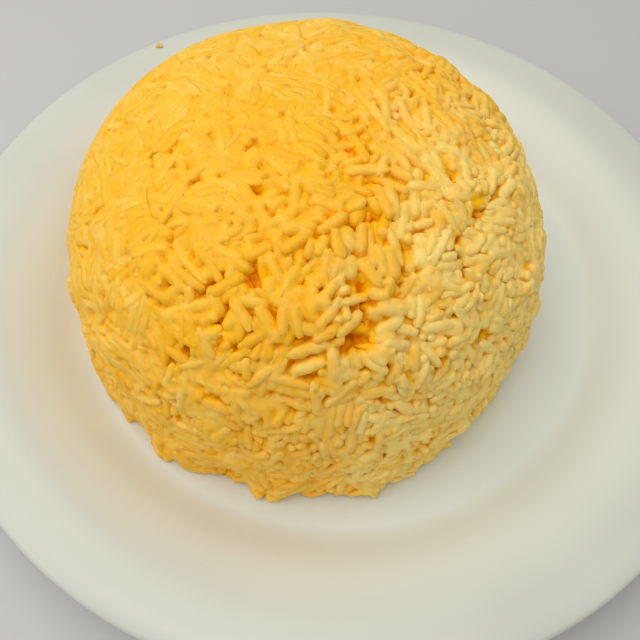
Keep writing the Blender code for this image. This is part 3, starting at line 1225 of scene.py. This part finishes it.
def pour(rice, bowl, draw):
    """Grains at random in the shell: middles, long axes, sideways axes, kinds and sizes."""
    count = rice.grains
    rise = draw.random(count * 3)
    turn = draw.uniform(0, 2 * math.pi, count * 3)
    level = np.sqrt(1 - rise * rise)
    on_wall = bowl.wall(np.stack((level * np.cos(turn), level * np.sin(turn), rise), 1))
    stretch = (on_wall ** 2).sum(1) / (bowl.normals(on_wall) * unit(on_wall)).sum(1)
    kept = draw.random(count * 3) < stretch / stretch.max() * (1 - OPENNESS * bowl.looseness(on_wall))
    on_wall = on_wall[kept][:count]
    count = len(on_wall)
    normals = bowl.normals(on_wall)
    loose = bowl.looseness(on_wall)
    side = wander_all_ways(on_wall, 0.028, SEED + 30) + TURNING * draw.normal(size=(count, 3))
    side = squared(side, normals)
    tilt = draw.normal(size=count) * over_heap(POUR_TILT, 0, loose)
    axes = unit(side * np.cos(tilt)[:, None] + normals * np.sin(tilt)[:, None])
    sideways = unit(np.cross(axes, normals) + ROLLING * draw.normal(size=(count, 3)))
    sideways = squared(sideways, axes)
    deep = draw.uniform(0.3, 1.0, count) * over_heap(POUR_DEPTH, 0, loose)
    middles = on_wall + normals * (bowl.limit(on_wall, False) - deep)[:, None]
    shares = np.array([kind[:2] for kind in GRAIN_KINDS.values()])
    chances = shares[:, 0] + shares[:, 1] * loose[:, None]
    steps = np.cumsum(chances / chances.sum(1, keepdims=True), 1)
    kinds = (draw.random(count)[:, None] > steps).sum(1)
    sizes = np.stack((draw.uniform(*LENGTHS, count), draw.uniform(*WIDTHS, count)), 1)
    return middles, axes, sideways, kinds, sizes


def lay_seen_grains(rice, bowl):
    """The grains that stand out in the picture, each just under the bowl's wall, as pour gives them."""
    ends = np.array([(bowl.seen_at(*grain[:2]), bowl.seen_at(*grain[2:4])) for grain in SEEN_GRAINS])
    widths = np.array([grain[4] for grain in SEEN_GRAINS])
    on_wall = bowl.wall(unit(ends.mean(1)))
    normals = bowl.normals(on_wall)
    span = ends[:, 1] - ends[:, 0]
    axes = squared(span, normals)
    middles = on_wall + normals * (bowl.limit(on_wall, False) + SEEN_RISE - widths / 2)[:, None]
    sizes = np.stack((np.linalg.norm(span, axis=1) / rice.grain_length, widths / rice.grain_width), 1)
    return middles, axes, np.cross(normals, axes), np.zeros(len(widths), int), sizes


def near_pairs(points, others, reach):
    """Every point with every one of the others that lies within reach of it."""
    low = np.minimum(points.min(0), others.min(0)) - reach
    cells = np.floor((points - low) / reach).astype(np.int64)
    other_cells = np.floor((others - low) / reach).astype(np.int64)
    size = np.maximum(cells.max(0), other_cells.max(0)) + 2
    strides = np.array((size[1] * size[2], size[2], 1))
    keys = cells @ strides
    other_keys = other_cells @ strides
    order = np.argsort(other_keys, kind="stable")
    in_order = other_keys[order]
    found = []
    for x in (-1, 0, 1):
        for y in (-1, 0, 1):
            wanted = keys + x * strides[0] + y * strides[1]
            start = np.searchsorted(in_order, wanted - 1, "left")
            count = np.searchsorted(in_order, wanted + 1, "right") - start
            first = np.repeat(np.arange(len(points)), count)
            within = np.arange(count.sum()) - np.repeat(np.cumsum(count) - count, count)
            second = order[np.repeat(start, count) + within]
            near = ((points[first] - others[second]) ** 2).sum(1) < reach ** 2
            found.append((first[near], second[near]))
    return np.concatenate(found, 1)


# While the grains settle, neighbours are listed again every few rounds, within the beads' widths and
# a margin, and so are the beads' places on the wall and the pegs within reach.
NEIGHBOUR_ROUNDS = 6
NEIGHBOUR_MARGIN = 0.0008
WALL_ROUNDS = 3
PEG_REACH = 0.0044

# A bead may lie this far under the core's surface, and no lower over the plate than this share of
# its radius. All are drawn outwards by the length below at first. Where a bead overlaps several
# others, its move is divided by this share of their number.
BURIED = 0.0022
PLATE_CONTACT = 0.9
DRAWN_OUT = 0.00006
CROWD_SHARE = 0.6

# The share of an overlap that a round undoes: with a peg, past the wall or the plate, in the core.
PEG_PUSH = 0.8
WALL_PUSH = 0.9
CORE_PUSH = 0.5


def summed(rows, owners, count):
    """The sum of the rows that belong to each owner."""
    return np.stack([np.bincount(owners, rows[:, axis], count) for axis in range(3)], 1)


def settle(bowl, middles, axes, sideways, lengths, widths, held, rounds):
    """Push overlapping grains apart and all but the held ones inside the wall, until they nestle."""
    count = len(middles)
    beads = len(BEADS)
    owner = np.repeat(np.arange(count), beads)
    peg_places, peg_sizes = bowl.pegs()
    free = (np.arange(count) >= held)[:, None, None]
    along = (BEADS[None] * lengths[:, None]).ravel()
    radii = (BEAD_SHARES[None] * widths[:, None] / 2).ravel()
    reach = radii.max() * 2 + NEIGHBOUR_MARGIN
    for turn in range(rounds):
        arms = axes[owner] * along[:, None]
        points = middles[owner] + arms
        if turn % NEIGHBOUR_ROUNDS == 0:
            first, second = near_pairs(points, points, reach)
            apart = (first < second) & (owner[first] != owner[second])
            first, second = first[apart], second[apart]
        if turn % WALL_ROUNDS == 0:
            on_wall, normals, high = bowl.measure(points)
            limit = bowl.limit(on_wall, False)
            firm = bowl.firmness(on_wall)
            loose = bowl.looseness(on_wall)
            give = over_heap(GIVE, firm, loose)
            squeeze = over_heap(SQUEEZE, firm, loose)
            by_peg, peg = near_pairs(points, peg_places, PEG_REACH)
            floor_depth = core_depth(bowl, on_wall) + BURIED
        else:
            high = ((points - on_wall) * normals).sum(1)
        gap = points[second] - points[first]
        apart = np.sqrt((gap ** 2).sum(1)) + 1e-9
        overlap = (radii[first] + radii[second]) * np.minimum(squeeze[first], squeeze[second]) - apart
        hit = overlap > 0
        push = gap[hit] * (0.5 * overlap[hit] / apart[hit])[:, None]
        moved = summed(push, second[hit], len(points)) - summed(push, first[hit], len(points))
        touches = np.bincount(np.concatenate((first[hit], second[hit])), minlength=len(points))
        moved /= np.maximum(1, CROWD_SHARE * touches)[:, None]
        off = points[by_peg] - peg_places[peg]
        distance = np.sqrt((off ** 2).sum(1)) + 1e-9
        inside = np.maximum(0, peg_sizes[peg] + radii[by_peg] - distance)
        moved += summed(off * (PEG_PUSH * inside / distance)[:, None], by_peg, len(points))
        over = np.maximum(0, high + radii - give - limit)
        under = np.maximum(0, limit - floor_depth - high)
        outwards = under * CORE_PUSH - over * WALL_PUSH + DRAWN_OUT * (1 - turn / rounds)
        moved += normals * outwards[:, None]
        moved[:, 2] += np.maximum(0, radii * PLATE_CONTACT - points[:, 2]) * WALL_PUSH
        moved = moved.reshape(count, beads, 3) * free
        middles = middles + moved.mean(1)
        arms = arms.reshape(count, beads, 3)
        torque = np.cross(arms, moved).sum(1) / (arms ** 2).sum((1, 2))[:, None]
        axes = unit(axes + np.cross(torque, axes))
        sideways = unit(sideways + np.cross(torque, sideways))
        sideways = squared(sideways, axes)
    return middles, axes, sideways


# Rounds of settling.
FULL_ROUNDS = 90

laid = {}


def lay_grains(scene):
    """The poured and settled grains, worked out once for all pieces made from them."""
    rice = scene.rice_dish_rice
    wall = (*rice.centre, rice.radius, rice.height, rice.roundness)
    key = (*wall, rice.grain_length, rice.grain_width, rice.grains)
    if key not in laid:
        bowl = Bowl(scene)
        draw = np.random.default_rng(SEED)
        held = len(SEEN_GRAINS)
        both = zip(lay_seen_grains(rice, bowl), pour(rice, bowl, draw))
        middles, axes, sideways, kinds, sizes = (np.concatenate(pair) for pair in both)
        shapes = np.array([kind[2:4] for kind in GRAIN_KINDS.values()])[kinds]
        lengths = shapes[:, 0] * sizes[:, 0] * rice.grain_length
        widths = shapes[:, 1] * sizes[:, 1] * rice.grain_width
        rounds = FULL_ROUNDS
        middles, axes, sideways = settle(bowl, middles, axes, sideways, lengths, widths, held, rounds)
        tones = draw.uniform(*TONES, len(middles))
        paler = draw.normal(size=len(middles)) * PALER_SPREAD
        tones[:held] = SEEN_TONE
        paler[:held] = SEEN_PALER
        laid[key] = dict(middles=middles, axes=axes, sideways=sideways, kinds=kinds, sizes=sizes)
        laid[key].update(lengths=lengths, widths=widths, tones=tones, paler=paler)
    return laid[key]


# The grains' surface stays this far over the plate.
CLEAR_OF_PLATE = 0.00005


def press_flat(bowl, points):
    """Flatten what stands past the bowl's wall, and keep all above the plate."""
    on_wall, normals, high = bowl.measure(points)
    limit = bowl.limit(on_wall)
    past = high - limit
    bulge = bulge_of(bowl, on_wall)
    kept = np.where(past > 0, bulge * (1 - np.exp(-np.maximum(past, 0) / bulge)), past)
    points = points + normals * (kept - past)[:, None]
    points[:, 2] = np.maximum(points[:, 2], CLEAR_OF_PLATE)
    return points, depth_value(limit - high)


# Room round a grain in its cell of the bake's map, against the cell's side.
MAP_MARGIN = 0.06


def join_grains(name, shape, placed, values):
    """One mesh of many grains, each with a cell of its own on the bake's map."""
    points, faces, places = shape
    count = len(placed) // len(points)
    grains = np.arange(count)[:, None]
    corners = np.concatenate([np.array(face) for face in faces])
    starts = np.cumsum([0] + [len(face) for face in faces[:-1]])
    mesh = mesh_of(
        name,
        placed,
        (grains * len(points) + corners[None]).ravel(),
        (grains * len(corners) + starts[None]).ravel(),
    )
    columns = math.ceil(math.sqrt(count))
    cell = np.concatenate((grains % columns, grains // columns), 1)
    own_map = (cell[:, None] + MAP_MARGIN + (1 - 2 * MAP_MARGIN) * places[None]) / columns
    mesh.uv_layers.new(name="OFBake").data.foreach_set("uv", own_map.ravel())
    for label, numbers in values.items():
        give_values(mesh, label, numbers)
    mesh.shade_smooth()
    mesh.validate()
    return object_of(name, mesh)


class RICE_DISH_OT_grains(bpy.types.Operator):
    """Pour, settle and press the grains that make the dome's skin"""

    bl_idname = "rice_dish.grains"
    bl_label = "Grains"

    def execute(self, context):
        rice = context.scene.rice_dish_rice
        bowl = Bowl(context.scene)
        grains = lay_grains(context.scene)
        material = rice_material("cooked_grains", (rice.golden, rice.straw, rice.deep), FINE_RELIEF)
        across = np.cross(grains["axes"], grains["sideways"])
        turns = np.stack((grains["axes"], grains["sideways"], across), 2)
        scales = grains["sizes"][:, (0, 1, 1)]
        for index, name in enumerate(GRAIN_KINDS):
            shape = model_grain(name, rice)
            chosen = np.flatnonzero(grains["kinds"] == index)
            middles = grains["middles"][chosen]
            local = shape[0][None] * scales[chosen][:, None]
            placed = np.einsum("gij,gvj->gvi", turns[chosen], local) + middles[:, None]
            each = placed.shape[1]
            points = placed.reshape(-1, 3)
            swollen = points + SWELLING * wander_all_ways(points, 0.0036, SEED + 10)
            flat, depth = press_flat(bowl, swollen)
            on_wall = bowl.measure(middles)[0]
            hidden = core_depth(bowl, on_wall) * HIDDEN_SHARE + bowl.pits(on_wall)
            shown = depth.reshape(-1, each).min(1) * DEPTH_SCALE < hidden
            stained = depth + bowl.stain(bowl.measure(flat)[0])
            paleness = bowl.dryness(on_wall) + grains["paler"][chosen]
            values = {
                "depth": stained.reshape(-1, each)[shown].ravel(),
                "tone": np.repeat(grains["tones"][chosen][shown], each),
                "paleness": np.repeat(paleness[shown], each),
            }
            placed = (flat.reshape(placed.shape)[shown] + np.array(rice.centre)).reshape(-1, 3)
            piece = join_grains("rice_grains_" + name, shape, placed, values)
            finish_piece(piece, material, "rice")
        return {"FINISHED"}


# ---- crumb ----


class RICE_DISH_OT_crumb(bpy.types.Operator):
    """Model the bit of rice that lies on the far left of the rim"""

    bl_idname = "rice_dish.crumb"
    bl_label = "Crumb on the rim"

    place = (-0.0808, 0.0952)
    half_sizes = (0.0013, 0.0010, 0.0008)
    middle_height = 0.0005
    looks = {"paleness": 0.9, "depth": 0.3, "tone": 0.2}

    def execute(self, context):
        rice = context.scene.rice_dish_rice
        plate = context.scene.rice_dish_plate
        deselect_all()
        bpy.ops.mesh.primitive_ico_sphere_add(subdivisions=3, radius=1.0)
        piece = bpy.context.active_object
        piece.name = "rice_crumb"
        points = points_of(piece.data)
        lumpy = 1 + 0.16 * wander(points, 1.5, SEED + 7)
        points *= lumpy[:, None] * np.array(self.half_sizes)
        radius = math.hypot(*self.place)
        ground = max(height for r, height in plate_section(plate) if abs(r - radius) < 0.0015)
        points += np.array((*self.place, ground + self.middle_height))
        piece.data.vertices.foreach_set("co", points.ravel())
        for label, value in self.looks.items():
            give_values(piece.data, label, np.full(len(points), value))
        bpy.ops.object.shade_smooth()
        material = rice_material("dried_crumb", (rice.dried, rice.dried, rice.deep), DRIED_RELIEF)
        finish_piece(piece, material, None)
        return {"FINISHED"}


# ---- stage ----


def aim(place, target):
    """A matrix at a place whose -Z looks at the target."""
    turn = (Vector(target) - Vector(place)).to_track_quat("-Z", "Y")
    return Matrix.Translation(place) @ turn.to_matrix().to_4x4()


def view_axes(stage, plate):
    """Where the camera stands, and its axes across, up and forward."""
    rise = plate.edge_height + stage.distance * math.sin(stage.elevation)
    eye = Vector((0, -stage.distance * math.cos(stage.elevation), rise))
    forward = (Vector((stage.aim_x, stage.aim_y, plate.edge_height)) - eye).normalized()
    right = forward.cross(Vector((0, 0, 1))).normalized()
    up = right.cross(forward)
    across = math.cos(stage.roll) * right + math.sin(stage.roll) * up
    upward = math.cos(stage.roll) * up - math.sin(stage.roll) * right
    return eye, across, upward, forward


def add_camera(stage, plate):
    """The camera at the viewing angle of the picture."""
    eye, across, upward, forward = view_axes(stage, plate)
    data = bpy.data.cameras.new("camera")
    data.sensor_width = 36.0
    data.lens = stage.focal_px / IMAGE_SIDE_PX * data.sensor_width
    data.clip_start = 0.01
    camera = object_of("camera", data)
    turned = Matrix((across, upward, -forward)).transposed().to_4x4()
    camera.matrix_world = Matrix.Translation(eye) @ turned
    bpy.context.scene.camera = camera


# The lights: place, side length and tint.
LIGHTS = {
    "key": ((-0.17, 0.06, 0.58), 0.46, (1.0, 0.995, 0.96)),
    "fill": ((-0.13, -0.28, 0.80), 0.55, (1.0, 1.0, 1.0)),
    "side": ((-0.50, -0.14, 0.30), 0.40, (1.0, 1.0, 1.0)),
}
LIT_PLACE = (0, 0, 0.03)


def add_light(name, power):
    """A soft square light that looks at the rice."""
    place, size, tint = LIGHTS[name]
    data = bpy.data.lights.new(name, "AREA")
    data.size = size
    data.energy = power
    data.color = tint
    object_of(name, data).matrix_world = aim(place, LIT_PLACE)


def add_sky(strength):
    """Plain pale light from all round."""
    world = bpy.data.worlds.new("studio")
    world.use_nodes = True
    background = world.node_tree.nodes["Background"]
    background.inputs["Color"].default_value = (0.99, 1.0, 1.0, 1.0)
    background.inputs["Strength"].default_value = strength
    bpy.context.scene.world = world


def add_floor(tint):
    """The plain floor."""
    deselect_all()
    bpy.ops.mesh.primitive_plane_add(size=4.0, location=(0, 0, 0))
    floor = bpy.context.active_object
    floor.name = "floor"
    material, _, shader = new_material("floor")
    shader.inputs["Base Color"].default_value = rgba(tint)
    shader.inputs["Roughness"].default_value = 0.7
    floor.data.materials.append(material)


class RICE_DISH_OT_stage(bpy.types.Operator):
    """Set up the camera, the lights and the floor"""

    bl_idname = "rice_dish.stage"
    bl_label = "Stage"

    def execute(self, context):
        stage = context.scene.rice_dish_stage
        add_camera(stage, context.scene.rice_dish_plate)
        for name in LIGHTS:
            add_light(name, getattr(stage, name))
        add_sky(stage.sky)
        add_floor(stage.floor)
        context.scene.view_settings.view_transform = "Standard"
        context.scene.view_settings.look = "None"
        return {"FINISHED"}


# ---- add-on ----


class RICE_DISH_PT_panel(bpy.types.Panel):
    """Buttons that build the dish piece by piece"""

    bl_label = "Yellow rice on a plate"
    bl_idname = "RICE_DISH_PT_panel"
    bl_space_type = "VIEW_3D"
    bl_region_type = "UI"
    bl_category = "Rice"

    def draw(self, context):
        for operator in OPERATORS:
            self.layout.operator(operator.bl_idname)
        for name in SETTINGS:
            group = getattr(context.scene, name)
            box = self.layout.box()
            for setting in group.bl_rna.properties:
                if not setting.is_readonly and setting.identifier != "name":
                    box.prop(group, setting.identifier)


OPERATORS = (
    RICE_DISH_OT_stage,
    RICE_DISH_OT_plate,
    RICE_DISH_OT_core,
    RICE_DISH_OT_grains,
    RICE_DISH_OT_crumb,
)
SETTINGS = {
    "rice_dish_plate": RiceDishPlate,
    "rice_dish_rice": RiceDishRice,
    "rice_dish_stage": RiceDishStage,
}


def register():
    """Make the settings, the operators and the panel known."""
    for name, group in SETTINGS.items():
        bpy.utils.register_class(group)
        setattr(bpy.types.Scene, name, PointerProperty(type=group))
    for one in (*OPERATORS, RICE_DISH_PT_panel):
        bpy.utils.register_class(one)


def unregister():
    """Undo what register did."""
    for one in reversed((*OPERATORS, RICE_DISH_PT_panel)):
        bpy.utils.unregister_class(one)
    for name, group in SETTINGS.items():
        delattr(bpy.types.Scene, name)
        bpy.utils.unregister_class(group)


def main():
    register()
    bpy.ops.rice_dish.stage()
    bpy.ops.rice_dish.plate()
    bpy.ops.rice_dish.core()
    bpy.ops.rice_dish.grains()
    bpy.ops.rice_dish.crumb()


if __name__ == "__main__":
    main()
